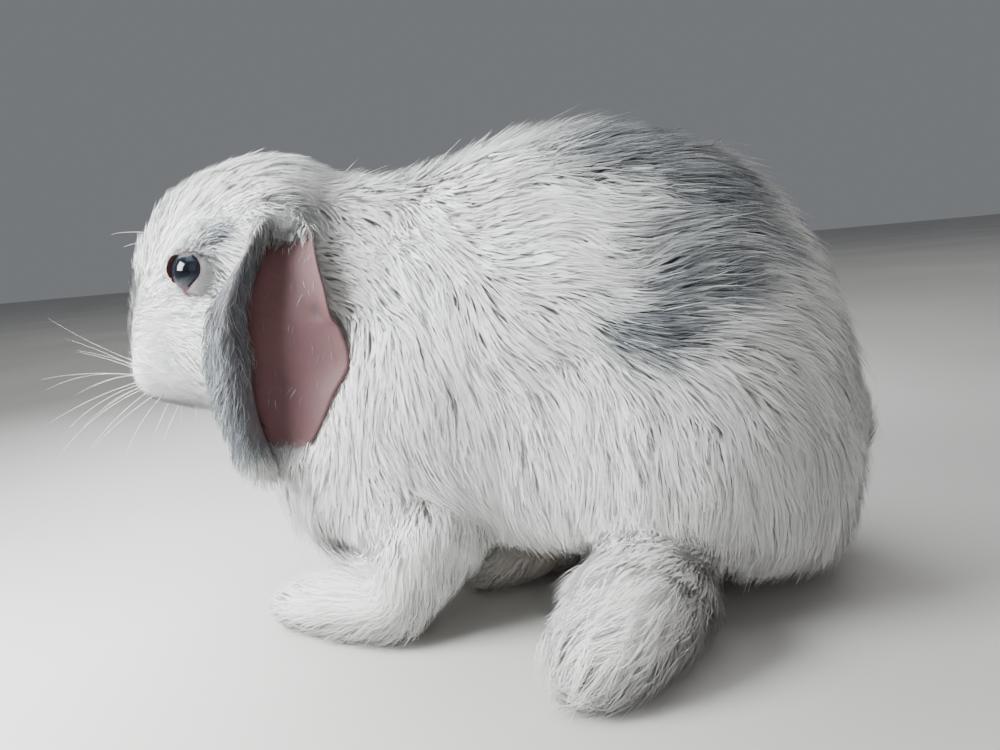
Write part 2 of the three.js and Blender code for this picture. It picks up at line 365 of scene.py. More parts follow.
# The shell: the coat's outer surface
GROWTH = 0.35  # how far each solid swells, which closes the cuts between them
SHELL_VOXEL = 1.6
SHELL_EASING = 30
DEPTH_EASING = 24
LIMB_EASING = 8
EAR_ROOT_FLOOR = 155.0  # above this height an ear's solid belongs to the head's own form
EAR_ROOT_END = (5, 0, -12)  # from the root's middle: inwards, and down into the head
EAR_MOUND = ((31, -74, 161), (12, 17, 13))  # the swelling over an ear's root: centre and radii
COAT_DEPTH = {
    "head": 6.2,
    "eye": 1.5,
    "ear": 6.2,
    "neck": 10.5,
    "trunk": 13.0,
    "thigh": 12.0,
    "upper_foreleg": 10.5,
    "foreleg": 6.0,
    "forepaw": 6.2,
    "hindfoot": 6.7,
    "tail": 9.0,
}
NOSE = at(0, -152, 108)
MUZZLE_SHARE = 0.3
MUZZLE_FADE = (12, 58)


def kind_of(node):
    return node.removesuffix("_left").removesuffix("_right")


def ear_root_end(points):
    """Where an ear's root runs out inside the head, once all that hangs below it is drawn in."""
    root = points[points[:, 2] > EAR_ROOT_FLOOR].mean(axis=0)
    return root + EAR_ROOT_END * np.array([np.sign(HOME[0] - root[0]), 1, 1])


def flesh_parts(nodes):
    """Each solid's points, faces and number, and a ball over each ear's root with the ear's number."""
    for label, node in enumerate(nodes):
        points, faces = node_arrays(node)
        if node.startswith("ear_"):
            points[points[:, 2] < EAR_ROOT_FLOOR] = ear_root_end(points)
        yield points + GROWTH * normals_of(points, faces), faces, label
    (x, y, z), radii = EAR_MOUND
    for side, mirror in SIDES.items():
        yield *ball(at(mirror * x, y, z), radii), nodes.index("ear_" + side)


def flesh_shell():
    """One smooth surface round all but the hanging ears, with the coat's depth and each limb's share."""
    nodes = sorted(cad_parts)
    parts = list(flesh_parts(nodes))
    points, faces = joined([part[:2] for part in parts])
    owner = np.concatenate([np.full(len(own_faces), label) for _, own_faces, label in parts])
    solids = tree_of(points, faces)
    points, faces = remeshed(points, faces, SHELL_VOXEL)
    edges = edges_of(faces, len(points))
    label = owner[nearest_on(solids, points)[1]]
    shell = Surface(eased(points, edges, SHELL_EASING), faces)
    depth = np.array([COAT_DEPTH[kind_of(node)] for node in nodes])[label]
    from_nose = lengths(shell.points - NOSE)
    thin = mixed(MUZZLE_SHARE, 1, smoothstep(*MUZZLE_FADE, from_nose))
    depth = np.where(label == nodes.index("head"), depth * thin, depth)
    shell.values["depth"] = spread(depth, edges, DEPTH_EASING)
    for limb in (*LIMB_LIE, *LIMB_FULLNESS):
        own = np.array([limb in (node, kind_of(node)) for node in nodes])[label]
        shell.values[limb] = spread(own.astype(float), edges, LIMB_EASING)
    return shell


# Eyes and lids
EYE_AXIS = {"left": unit(np.array([0.955, -0.25, 0.16]))}
EYE_AXIS["right"] = EYE_AXIS["left"] * (-1, 1, 1)
EYEBALL_SHARE = 0.955  # the eyeball's radius, as a share of its solid's
CORNEA_RISE = 0.035
CORNEA_REACH = 0.62
LID_THICKNESS = 1.7
LID_REACH = 13.0
LID_STEP = 2.9
LID_GAP = 0.6  # how far behind the eyeball's front the skin runs inside the opening
LID_LEVELS = (15.0, 11.0)  # within these distances of the axis the skin's triangles are split
LID_LINE = 1.2  # and this close to the opening's edge they are split twice more
CANTHUS = math.radians(-61)
CANTHUS_REACH = 1.7
EYE_OPENING = 7.3
BEHIND_EYE = 2.0  # from_middle on the eyeball's back half


def eye_frame(side):
    axis = EYE_AXIS[side]
    ahead = unit(np.array([0, -1, 0]) + axis * axis[1])
    up = np.cross(axis, ahead)
    return EYE_AT[side], axis, ahead, up if up[2] > 0 else -up


def eye_polar(points, side):
    """Points about an eye's axis: how far out along it, how far from it, and the angle round it."""
    centre, axis, ahead, up = eye_frame(side)
    away = points - centre
    across = np.stack([away @ ahead, away @ up], axis=1)
    return away @ axis, lengths(across), np.arctan2(across[:, 1], across[:, 0])


def eye_edge(angle):
    """How far the opening reaches at an angle: round, drawn out to a corner low in front."""
    turn = (angle - CANTHUS + math.pi) % (2 * math.pi) - math.pi
    edge = EYE_OPENING + 0.25 * np.abs(np.sin(angle)) + CANTHUS_REACH * bell(turn / 0.34)
    return edge - (0.4 * bell((angle - 2.2) / 0.7) + 0.9 * bell((angle + 2.2) / 0.55))


def rim_edge(angle):
    """How far the bare rim reaches at an angle: it is broadest in front and low."""
    return eye_edge(angle) + (0.35 + 2.0 * bell((angle + 0.45) / 0.9))


def lid_height(out, reach, edge):
    """How far out the skin stands: over the eye beyond the opening's edge, behind its front within."""
    lid_radius = EYE_RADIUS + LID_THICKNESS
    lid = np.sqrt(np.maximum(lid_radius**2 - np.minimum(reach, lid_radius - 0.8) ** 2, 0))
    hold = 1 - smoothstep(edge + 0.8, LID_REACH, reach)
    outer = mixed(out, np.maximum(lid, out), hold)
    inner = np.sqrt(np.maximum(EYE_RADIUS**2 - reach**2, 0)) - LID_GAP
    inner = np.maximum(inner, lid - LID_STEP)
    return mixed(inner, outer, smoothstep(edge - 0.45, edge + 0.25, reach))


def with_lids(points, faces):
    for side, axis in EYE_AXIS.items():
        for level in LID_LEVELS:
            out, reach, _ = eye_polar(middles_of(points, faces), side)
            points, faces = refined(points, faces, (reach < level) & (out > 0))
        for _ in range(2):
            out, reach, angle = eye_polar(middles_of(points, faces), side)
            at_edge = np.abs(reach - eye_edge(angle)) < LID_LINE
            points, faces = refined(points, faces, at_edge & (out > 0))
        out, reach, angle = eye_polar(points, side)
        near = (reach < LID_REACH) & (out > 0)
        points[near] += (lid_height(out, reach, eye_edge(angle)) - out)[near, None] * axis
    return points, faces


def eye_object(side, material):
    """An eyeball with a bulging cornea, whose vertices know how far they are from its axis."""
    rings, spokes = 56, 72
    centre, axis, ahead, up = eye_frame(side)
    polar = np.linspace(0, math.pi, rings + 1)[1:-1]
    spin = angles_round(spokes)
    polar_grid, spin_grid = np.meshgrid(polar, spin, indexing="ij")
    radius = EYE_RADIUS * (EYEBALL_SHARE + CORNEA_RISE * bell(polar_grid / CORNEA_REACH))
    ring = np.sin(polar_grid) * radius
    around = np.cos(spin_grid)[..., None] * ahead + np.sin(spin_grid)[..., None] * up
    grid = np.cos(polar_grid)[..., None] * radius[..., None] * axis
    grid = grid + ring[..., None] * around
    front = axis * EYE_RADIUS * (EYEBALL_SHARE + CORNEA_RISE)
    back = -axis * EYE_RADIUS * EYEBALL_SHARE
    points = np.concatenate([[front], grid.reshape(-1, 3), [back]]) + centre
    faces = loft_faces(len(polar), spokes)
    thing = mesh_object("eyeball_" + side, points, outward(points, faces), material)
    from_axis = lengths(np.cross(points - centre, axis))
    behind = (points - centre) @ axis < 0
    add_values(thing, "from_middle", np.where(behind, BEHIND_EYE, from_axis / EYE_RADIUS))
    return thing


# Nose, mouth and toes
def both(path):
    return [path, [(-x, y, z) for x, y, z in path]]


NOSTRIL = [(1.6, -154, 108.5), (3.6, -153.5, 111.5), (6.0, -151.5, 113.2), (7.2, -149.5, 111.5)]
LIP_CLEFT = [(0, -154, 107), (0, -153, 103.5), (0, -151, 100.5)]
MOUTH = [(0, -151, 100.5), (4.5, -149, 98), (9, -144.5, 96), (13, -137, 96)]
NOSE_CREASE = [(0, -153.6, 113), (0, -154, 110), (0, -154.2, 107)]
# Path, depth and width of each furrow of the face, and place, rise and reach of each swelling.
CREASES = [(path, 2.3, 0.8) for path in both(NOSTRIL)]
CREASES += [(LIP_CLEFT, 1.3, 0.7), (NOSE_CREASE, 0.7, 0.8)]
CREASES += [(path, 1.6, 0.8) for path in both(MOUTH)]
FACE_SWELLS = [((0, -152, 110), 0.6, 6), ((9, -147, 103), 1.1, 8), ((-9, -147, 103), 1.1, 8)]
NOSE_LEVELS = (17.0, 13.0)  # within these distances of the nose the skin's triangles are split
NOSE_REACH = 32


def distance_to(path, points):
    """From each point to a line of closely spaced places."""
    return lengths(points[:, None] - path).min(axis=1)


def traced(tree, path):
    """A path through places in the plan, laid onto a surface."""
    line = curve_at([at(*place) for place in path], np.linspace(0, 1, 30))
    return nearest_on(tree, line)[0]


def with_nose(points, faces):
    for size in NOSE_LEVELS:
        middle = middles_of(points, faces)
        points, faces = refined(points, faces, lengths(middle - NOSE) < size)
    tree = tree_of(points, faces)
    push = np.zeros(len(points))
    for place, rise, size in FACE_SWELLS:
        push += rise * bell(lengths(points - at(*place)) / size)
    near = lengths(points - NOSE) < NOSE_REACH
    for path, depth, width in CREASES:
        push[near] -= depth * bell(distance_to(traced(tree, path), points[near]) / width)
    return points + normals_of(points, faces) * push[:, None], faces


# Each foot: where its toes end, the way they point, half its width there, and how long its toes are.
FEET = {
    "forepaw_left": ((24, -95, 7), (-0.42, -0.9), 12, 20),
    "forepaw_right": ((10, -20, 6), (0.3, -0.95), 10, 16),
    "hindfoot_left": ((96, 16, 8), (0.72, -0.69), 15, 24),
    "hindfoot_right": ((-74, 13, 8), (-0.16, -0.98), 14, 24),
}
TOES = 4
TOE_FURROW = 2.0
TOE_SWELL = 1.3


def foot_ways(towards):
    """The level ways ahead and to the left of a foot."""
    ahead = np.array([*towards, 0]) / math.hypot(*towards)
    return ahead, np.array([-ahead[1], ahead[0], 0])


def toe_places(foot, points):
    """How far points are back from the toes' ends, and across them in toe widths from the middle."""
    end, towards, half, length = FEET[foot]
    ahead, side = foot_ways(towards)
    away = points - at(*end)
    back = -(away @ ahead)
    return back, (away @ side) / (2 * half / TOES), length


def with_toes(points, faces, weights):
    """Lobes at the ends of the feet, with furrows between them that run out up the foot."""
    normals = normals_of(points, faces)
    for foot in FEET:
        back, across, length = toe_places(foot, points)
        lobe = np.abs(np.cos(math.pi * across)) ** 0.45
        on_toes = (np.abs(across) < TOES / 2 - 0.2) * (1 - smoothstep(length * 0.3, length, back))
        above = smoothstep(-0.6, 0.2, normals[:, 2])
        push = (TOE_FURROW * (lobe - 1) + TOE_SWELL * lobe) * on_toes * above * weights[foot]
        points = points + normals * push[:, None]
    return points


# Ears
# Down the middle of an ear from its root to the tip: place, half width, and how deep its hollow is.
EAR_LINE = [
    (16, -74, 161),
    (28, -73.5, 160.5),
    (37, -73, 156.5),
    (43, -73.5, 148.5),
    (46.5, -75.5, 137.5),
    (48.5, -77.8, 126),
    (49.5, -78, 114.5),
    (50, -80.6, 103),
    (50, -82.8, 91.5),
    (49.5, -84.2, 81),
    (49, -84.4, 72.5),
]
EAR_HALF = [6.5, 8.5, 10, 12.5, 17.5, 21.8, 24.4, 21.6, 17.8, 13, 11]
EAR_DEPTH = [0.8, 0.8, 0.85, 0.95, 1.05, 1.1, 1.1, 1.05, 0.95, 0.75, 0.5]
EAR_LIP = [0, -0.3, -0.72, -0.76, -0.66, -0.56, -0.48, -0.44, -0.36, -0.22, -0.05]
# Across the ear, from the inner lip of its rolled front edge, round the roll, to the back edge:
# places in half widths, and millimetres outwards. At the root the roll closes into a tube.
BLADE = [(0.06, 0.2), (-0.02, 3.4), (-0.22, 6.2), (-0.62, 6.4), (-0.94, 2.8), (-0.98, -1.6)]
BLADE += [(-0.66, -3.9), (-0.1, -3.9), (0.36, -2.8), (0.74, -0.6), (1.0, 2.6)]
ROOT = [(0.05, 4.6), (-0.42, 5.4), (-0.82, 4.2), (-1.0, 1.0), (-0.92, -2.6), (-0.5, -5.0)]
ROOT += [(0.1, -5.6), (0.66, -4.4), (0.98, -1.2), (0.86, 3.0), (0.2, 5.8)]
EAR_OPENING = (0.06, 0.22)
CORNER = 0.61  # along the ear, where its back edge stands furthest out
FOLD = (0.455, 0.9)  # along and across the ear, a small pocket by the back edge
EAR_RINGS = 84
EAR_ACROSS = 34
EAR_SHEET = 1.7
HOLLOW_OUT = {"left": 1.0, "right": -1.0}  # the left ear hangs turned over, its hollow facing out
EAR_CLOSING = 0.9  # from here on along the ear its tip draws in
EAR_FREE = (0.22, 0.88)  # before and beyond these along the ear, tufts run straight from their roots


def ear_section(t, u):
    """The middle of the ear's sheet, in millimetres across and out, and half its thickness there."""
    closing = np.sqrt(np.clip(1 - (np.clip(t - EAR_CLOSING, 0, 1) / 0.1) ** 2, 0.03, 1))
    half, deep = (curve_at(values, t) * closing for values in (EAR_HALF, EAR_DEPTH))
    blade, root = (curve_at(path, u) for path in (BLADE, ROOT))
    opened = smoothstep(*EAR_OPENING, t)
    sheet = mixed(root[None], blade[None], opened[:, None, None])
    rolled = 1 - smoothstep(0.08, 0.4, u)
    sheet[..., 0] += (opened * curve_at(EAR_LIP, t))[:, None] * rolled[None]
    places = sheet * np.stack([half, deep], axis=1)[:, None, :]
    back = smoothstep(0.72, 1.0, u)[None]
    places[..., 0] += 1.6 * bell((t - CORNER) / 0.03)[:, None] * back
    fold = bell((t - FOLD[0]) / 0.035)[:, None] * bell((u - FOLD[1]) / 0.05)[None]
    places[..., 1] -= 1.1 * fold
    places[..., 1] += 0.6 * np.sin(t * 19)[:, None] * back
    thick = EAR_SHEET / 2 * (0.45 + 0.55 * np.sin(math.pi * u) ** 0.5)[None, :, None]
    return places, thick * mixed(1.6, 1.0, opened)[:, None, None] * np.sqrt(closing)[:, None, None]


def ear_surface(side):
    """A thin closed sheet, with each vertex's place along and across the ear and on which face it is."""
    flip = (SIDES[side], 1, 1)
    t = np.linspace(0, 1, EAR_RINGS)
    u = np.linspace(0, 1, EAR_ACROSS)
    line = curve_at(EAR_LINE, t)
    tangent = unit(np.gradient(line, axis=0))
    across = unit(np.array([0, 1, 0]) - tangent * tangent[:, 1:2])
    outwards = unit(np.cross(tangent, across))
    outwards *= np.sign(outwards[:, :1])
    places, thick = ear_section(t, u)
    slope = np.gradient(places, axis=1)
    facing = unit(np.stack([-slope[..., 1], slope[..., 0]], axis=-1))
    both_faces = np.concatenate([places + facing * thick, (places - facing * thick)[:, ::-1]], axis=1)
    grid = line[:, None] + both_faces[..., :1] * across[:, None]
    grid = grid + HOLLOW_OUT[side] * both_faces[..., 1:] * outwards[:, None]
    poles = np.stack([grid[0].mean(axis=0), grid[-1].mean(axis=0) + tangent[-1] * 0.5])
    points = np.concatenate([poles[:1], grid.reshape(-1, 3), poles[1:]]) * flip + HOME
    ear = Surface(points, outward(points, loft_faces(EAR_RINGS, 2 * EAR_ACROSS)))
    grid_t, grid_u = np.meshgrid(t, np.concatenate([u, u[::-1]]), indexing="ij")
    inside = np.broadcast_to(np.repeat([1.0, 0.0], EAR_ACROSS), grid_t.shape)
    for name, values in (("t", grid_t), ("u", grid_u), ("inside", inside)):
        ear.values[name] = np.concatenate([[values[0, 0]], values.ravel(), [values[-1, 0]]])
    lie = np.repeat(tangent, 2 * EAR_ACROSS, axis=0)
    ear.values["lie"] = np.concatenate([tangent[:1], lie, tangent[-1:]]) * flip
    add_ear_coat(ear)
    return ear


def add_ear_coat(ear):
    """The coat at each of an ear's vertices: hardly any in its hollow and along its back edge."""
    t, u = ear.values["t"], ear.values["u"]
    hollow = ear.values["inside"] * smoothstep(0.12, 0.24, u)
    hollow *= smoothstep(0.14, 0.26, t) * (1 - smoothstep(0.86, 0.94, t))
    rim = smoothstep(0.88, 0.96, u) * smoothstep(0.2, 0.3, t) * (1 - smoothstep(0.85, 0.92, t))
    furry = (1 - hollow) * (1 - 0.9 * rim)
    ear.values["furry"] = furry
    ear.values["grey"] = ear_greyness(t, u)
    ear.values["depth"] = mixed(1.6, 3.2, furry) * mixed(1.5, 1, smoothstep(0.05, 0.3, t))
    ear.values["full"] = np.ones(len(t))
    ear.values["ragged"] = np.zeros(len(t))
    ear.values["free"] = ((t > EAR_FREE[1]) | (t < EAR_FREE[0])).astype(float)
    dense = mixed(0.014 + 0.06 * (1 - smoothstep(0.2, 0.4, t)), 1.0, furry)
    ear.values["dense"] = dense * (1 + smoothstep(0.86, 0.93, t))


# The skin
SKIN_VOXEL = 1.5
SKIN_EASING = (4, 8)  # rounds of smoothing before and after the drawn-in shell is remeshed
SKIN_DEPTH = (1.2, 15)  # the least and most depth of the coat over it


def make_skin(shell):
    """The shell drawn in by the coat's depth, with the face's and the feet's own forms."""
    inner = shell.points - shell.normals * shell.values["depth"][:, None]
    inner = eased(inner, shell.edges, SKIN_EASING[0])
    points, faces = remeshed(inner, shell.faces, SKIN_VOXEL)
    points = eased(points, edges_of(faces, len(points)), SKIN_EASING[1])
    points, faces = with_nose(points, faces)
    points, faces = with_lids(points, faces)
    place, index = nearest_on(shell.tree, points)
    depth = lengths(place - points)
    weights = {name: shell.value(name, index) for name in shell.values}
    skin = Surface(with_toes(points, faces, weights), faces)
    skin.values.update(weights)
    skin.values["depth"] = np.clip(spread(depth, skin.edges, 4), *SKIN_DEPTH)
    skin.values["bare"] = np.zeros(len(points))
    for side in SIDES:
        out, reach, angle = eye_polar(skin.points, side)
        edge = rim_edge(angle)
        bare = (out > -4) * (1 - smoothstep(edge - 0.5, edge + 0.6, reach))
        skin.values["bare"] = np.maximum(skin.values["bare"], bare)
    skin.values["lie"] = groom(skin)
    skin.values["full"] = fullness(skin)
    skin.values["ragged"] = raggedness(skin)
    skin.values["free"] = np.zeros(len(points))
    return skin


# The lie of the coat on the left side: places in the plan and the way the hair points there.
GROOM = [
    ((0, -152, 114), (0, 0.5, 0.9)),
    ((0, -140, 165), (0, 0.7, 0.7)),
    ((0, -118, 184), (0, 0.95, 0.3)),
    ((0, -90, 190), (0, 1, 0)),
    ((14, -146, 106), (0.5, 0.8, -0.2)),
    ((24, -128, 122), (0.2, 0.95, -0.25)),
    ((24, -132, 140), (0.2, 0.9, 0.1)),
    ((28, -122, 160), (0.1, 0.8, 0.55)),
    ((34, -98, 165), (0, 0.95, 0.1)),
    ((34, -96, 140), (0, 0.95, -0.35)),
    ((34, -102, 112), (0, 0.8, -0.6)),
    ((12, -130, 88), (0.1, 0.8, -0.5)),
    ((0, -112, 84), (0, 0.5, -0.8)),
    ((0, -58, 182), (0, 1, -0.05)),
    ((40, -60, 150), (0.1, 0.6, -0.75)),
    ((46, -44, 140), (0, 0.5, -0.85)),
    ((46, -64, 118), (0, 0.3, -0.95)),
    ((44, -78, 90), (0, 0.15, -1)),
    ((20, -98, 66), (0, -0.1, -1)),
    ((20, -86, 45), (0, -0.3, -1)),
    ((0, -15, 184), (0, 1, 0.05)),
    ((0, 30, 194), (0, 1, 0)),
    ((0, 75, 186), (0, 1, -0.25)),
    ((0, 118, 156), (0, 0.6, -0.8)),
    ((0, 140, 100), (0, 0.1, -1)),
    ((44, -20, 166), (0.2, 0.9, -0.3)),
    ((48, 20, 168), (0.15, 0.95, -0.2)),
    ((48, 62, 164), (0.1, 1, -0.15)),
    ((42, 98, 148), (0, 0.9, -0.45)),
    ((56, -42, 124), (0, 0.5, -0.85)),
    ((62, -8, 128), (0, 0.6, -0.8)),
    ((64, 26, 128), (0, 0.85, -0.5)),
    ((66, 54, 130), (0, 1, 0.05)),
    ((66, 78, 118), (0, 0.95, -0.3)),
    ((70, 40, 98), (0, 0.7, -0.75)),
    ((60, 104, 118), (0, 0.6, -0.8)),
    ((60, -44, 84), (0, 0.15, -1)),
    ((68, -4, 84), (0, 0.35, -0.95)),
    ((74, 34, 68), (0, 0.2, -1)),
    ((78, 64, 74), (0, 0.15, -1)),
    ((72, 98, 74), (0, 0.05, -1)),
    ((46, 122, 84), (0, 0.1, -1)),
    ((56, 8, 36), (-0.2, 0.15, -1)),
    ((70, 70, 34), (0.1, 0, -1)),
    ((20, 142, 50), (0, 0.1, -1)),
]
LIMB_LIE = {
    "forepaw_left": (-0.42, -0.88, -0.25),
    "forepaw_right": (0.3, -0.92, -0.25),
    "foreleg_left": (0.1, -0.35, -0.95),
    "foreleg_right": (0.4, 0.5, -0.8),
    "hindfoot_left": (0.6, -0.77, -0.35),
    "hindfoot_right": (-0.2, -0.95, -0.3),
    "tail": (0, 0.45, 0.9),
}
LIE_CORE = 240  # how far round itself, squared, each guide rules


def groom(skin):
    """The way the hair lies at each vertex: by the guides and the limbs, with a little unruliness."""
    here = plan(skin.points)
    lie = np.zeros_like(here)
    total = np.zeros((len(here), 1))
    for place, way in GROOM:
        weight = 1 / (((here - place) ** 2).sum(axis=1) + LIE_CORE)[:, None] ** 2
        lie += weight * unit(np.array(way, float))
        total += weight
    lie = lie / total
    lie[:, 0] *= np.where(skin.points[:, 0] < HOME[0], -1, 1)
    for node, way in LIMB_LIE.items():
        lie = mixed(lie, unit(np.array(way, float)), skin.values[node][:, None])
    lie = unit(along_surface(lie, skin.normals))
    furry = smoothstep(5, 11, skin.values["depth"])
    turn = 0.3 * ripple(skin.points, 42, 3) + 0.22 * ripple(skin.points, 19, 4)
    lie = turned(lie, skin.normals, turn * mixed(0.5, 1, furry))
    return unit(along_surface(spread(lie, skin.edges, 26), skin.normals))


# Where the coat is ragged besides on the hind feet: centre and radii in the plan, on both sides.
RAGGED = ((20, -88, 58), (36, 22, 26))
# Soft partings of the coat on the left side.
PARTINGS = [
    [(64, -22, 104), (67, -14, 98), (69, -6, 91)],
    [(66, -5, 113), (68, 5, 107), (70, 12, 98), (70, 16, 89)],
    [(58, -42, 120), (62, -36, 110), (64, -32, 100)],
    [(70, 22, 112), (72, 32, 104), (74, 38, 94)],
]
PARTING_WIDTH = 3.0
LIMB_FULLNESS = {"hindfoot": 0.42, "forepaw": 0.25, "foreleg": 0.06}


def fullness(skin):
    """How much of its depth the coat fills: a little more or less in waves, less along the partings."""
    here = plan(skin.points)
    full = 1 + 0.06 * ripple(skin.points, 40, 6) + 0.04 * ripple(skin.points, 17, 7)
    for path in PARTINGS:
        line = curve_at(path, np.linspace(0, 1, 16))
        full -= 0.3 * bell(distance_to(line, here) / PARTING_WIDTH)
    for kind, more in LIMB_FULLNESS.items():
        full += more * skin.values[kind]
    return full


def raggedness(skin):
    feet = 0.4 * skin.values["hindfoot"] * (1 - smoothstep(20, 34, skin.points[:, 2]))
    return np.maximum(feet, patch(plan(skin.points), *RAGGED, 1.0, 0.0))


# Markings, and brown from stains and painted shade
# Soft patches of grey on the left side of the plan: centre, radii, strength.
PATCHES = [
    ((0, 66, 189), (42, 48, 22), 0.85),
    ((30, 60, 177), (38, 42, 21), 0.92),
    ((44, 84, 159), (27, 30, 19), 0.98),
    ((50, 102, 142), (19, 18, 17), 0.7),
    ((57, 72, 145), (22, 28, 16), 0.78),
    ((66, 73, 128), (22, 28, 16), 1.0),
    ((70, 55, 114), (19, 24, 14), 1.0),
    ((32, -104, 159), (14, 13, 11), 1.0),
    ((26, -110, 147), (18, 17, 16), 0.4),
    ((24, -131, 118), (9, 9, 9), 0.18),
    ((42, -74, 160), (13, 16, 12), 0.6),
]


def patch(here, centre, radii, strength, noise):
    away = lengths((here - centre) / np.array(radii, float))
    return strength * (1 - smoothstep(0.55, 1.2, away + noise))


def greyness(points):
    """The grey markings, from 0 to 1; skin and coat both take theirs from here."""
    here = plan(points)
    noise = 0.1 * ripple(points, 26, 11) + 0.08 * ripple(points, 9, 12)
    grey = np.zeros(len(points))
    for centre, radii, strength in PATCHES:
        grey = np.maximum(grey, patch(here, centre, radii, strength, noise))
    return np.clip(grey, 0, 1)


def ear_greyness(t, u):
    grey = 0.45 * smoothstep(-0.02, 0.08, t) + 0.55 * smoothstep(0.16, 0.32, t)
    grey *= 1 - 0.8 * smoothstep(0.88, 0.95, t)
    return np.clip(grey * mixed(1, 0.75, smoothstep(0.85, 1.0, u)), 0, 1)


def soil_and_painted_shade(points):
    """Where the coat is brown: on the limb under the belly a stain that is also painted shade, at the
    soles, and faintly over all low parts as a warm painted shade.
    """
    here = plan(points, mirror=False)
    x, y, z = here.T
    # stain and painted shade together on the limb under the belly
    under = np.exp(-((x + 14) ** 2 + (y - 8) ** 2) / 28**2) * (1 - smoothstep(30, 52, z))
    # browner at the soles, close to the floor
    soles = 0.35 * (1 - smoothstep(1, 7, z))
    # painted shade: darker and browner towards the bottom of the body
    low = 0.15 * (1 - smoothstep(15, 95, z))
    soil_and_shade = np.clip(0.95 * under + soles + low, 0, 1) * (0.8 + 0.2 * ripple(points, 14, 21))
    return np.clip(soil_and_shade, 0, 1)


# The skin's object
NOSE_PINK = (5.5, 6, 6.5)  # radii of the pink at the nose
EAR_OWN = 0.3  # skin within this distance of an ear's sheet takes the ear's values


def joined_with_ears(skin, ears):
    """The body's skin and both ears as one closed mesh."""
    body = mesh_object("skin", skin.points, skin.faces)
    cutters = []
    for side, ear in ears.items():
        cutter = mesh_object("ear_sheet_" + side, ear.points, ear.faces)
        step = body.modifiers.new(side, "BOOLEAN")
        step.operation = "UNION"
        step.solver = "MANIFOLD"
        step.object = cutter
        cutters.append(cutter)
    points, faces = arrays_after(body)
    for cutter in cutters:
        bpy.data.objects.remove(cutter)
    return points, faces


def skin_values(points, skin, ears):
    """How grey, bare, darkly bare and brown each vertex of the whole skin is, from 0 to 1. Darkly bare
    holds the lids' rims and painted shade in the ears' hollows; brown holds stains and painted shade low
    down.
    """
    grey = greyness(points)
    on_body, body_face = nearest_on(skin.tree, points)
    body_gap = lengths(on_body - points)
    nose = np.exp(-(lengths((points - NOSE) / NOSE_PINK) ** 4))
    bare = np.maximum(skin.value("bare", body_face), 0.75 * nose)
    dark = np.zeros(len(points))
    for side in SIDES:
        out, reach, angle = eye_polar(points, side)
        edge = rim_edge(angle)
        dark = np.maximum(dark, 0.85 * (out > 0) * (1 - smoothstep(edge, edge + 1.2, reach)))
    for ear in ears.values():
        on_ear, index = nearest_on(ear.tree, points)
        gap = lengths(on_ear - points)
        own = (gap < body_gap) & (gap < EAR_OWN)
        t, u, furry = (ear.value(name, index) for name in ("t", "u", "furry"))
        # painted shade on the ear's bare hollow, deepening across it towards the back edge, and in the
        # small pocket by the back edge
        fold = 0.4 * bell((t - FOLD[0]) / 0.03) * bell((u - FOLD[1]) / 0.05)
        shaded = 0.02 + 0.48 * smoothstep(0.62, 0.78, u) + fold
        grey = np.where(own, ear.value("grey", index), grey)
        bare = np.where(own, mixed(0.25, 1, 1 - furry), bare)
        dark = np.where(own, (1 - furry) * shaded, dark)
    return {"grey": grey, "bare": bare, "dark": np.clip(dark, 0, 1), "soil_and_shade": soil_and_painted_shade(points)}


def skin_object(skin, ears, material):
    points, faces = joined_with_ears(skin, ears)
    thing = mesh_object("skin", points, faces, material)
    for name, values in skin_values(points, skin, ears).items():
        add_values(thing, name, values)
    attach(thing, "root")
    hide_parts(*[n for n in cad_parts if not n.startswith("eye_")])


# Tufts
FLOOR_GAP = 0.2  # the least height of a tuft's points
PIECE_TRIANGLES = 190000
PATCH_ON_MAP = 0.003
UNWRAP_FACES = 12000
MOST_TURN = -0.2  # a tuft whose skin turns further than this cosine has slipped round a thin edge
ROOT_SUNK = 0.3
RING_WIDTHS = (0.85, 0.9)
EAR_MARGIN = 3
# seed: of its random numbers; rings: bends from root to tip, counting the tip; width in millimetres where
# the coat is deepest; flatness: thickness by width; reach: how far a tuft runs along the skin for each
# millimetre of the coat's depth; rise: the least and most share of that depth its tip stands at; loose:
# how much it leaves the skin's curve; clump: the share of roots that lead a clump; pull: how far tips
# draw together; wild: how unruly they are; stray: the share of tufts that stand out.
LOOKS = {
    "under": dict(
        seed=100, rings=2, width=2.5, flatness=0.25, reach=1.3, rise=(0.72, 0.88), loose=0.15,
        clump=0.3, pull=0.05, wild=0.36, stray=0.0,
    ),
    "long": dict(
        seed=200, rings=2, width=0.4, flatness=0.55, reach=1.75, rise=(0.84, 1.02), loose=0.25,
        clump=0.1, pull=0.12, wild=0.36, stray=0.03,
    ),
    "short": dict(
        seed=300, rings=2, width=0.5, flatness=0.7, reach=1.9, rise=(0.55, 1.0), loose=0.2,
        clump=0.09, pull=0.16, wild=0.4, stray=0.0,
    ),
    "face": dict(
        seed=400, rings=1, width=0.62, flatness=0.6, reach=2.2, rise=(0.45, 0.9), loose=0.15,
        clump=0.1, pull=0.1, wild=0.36, stray=0.0,
    ),
    "ear_left": dict(
        seed=500, rings=2, width=0.56, flatness=0.7, reach=2.2, rise=(0.3, 0.85), loose=0.2,
        clump=0.08, pull=0.3, wild=0.7, stray=0.03,
    ),
}
LOOKS["ear_right"] = LOOKS["ear_left"] | dict(seed=520)
LONG_COAT = 7.0
SHORT_COAT = 4.4
QUICK_SHARE = 0.3
GROWN = {
    "under": (LONG_COAT, 99, 0.15, 1.3, 0.65),
    "long": (LONG_COAT, 99, 0.7, 1.0, QUICK_SHARE),
    "short": (SHORT_COAT, LONG_COAT, 0.36, 1.0, QUICK_SHARE),
    "face": (0, SHORT_COAT, 0.5, 1.1, QUICK_SHARE),
}
DEEPEST = COAT_DEPTH["trunk"]
SHALLOWEST = 2.2


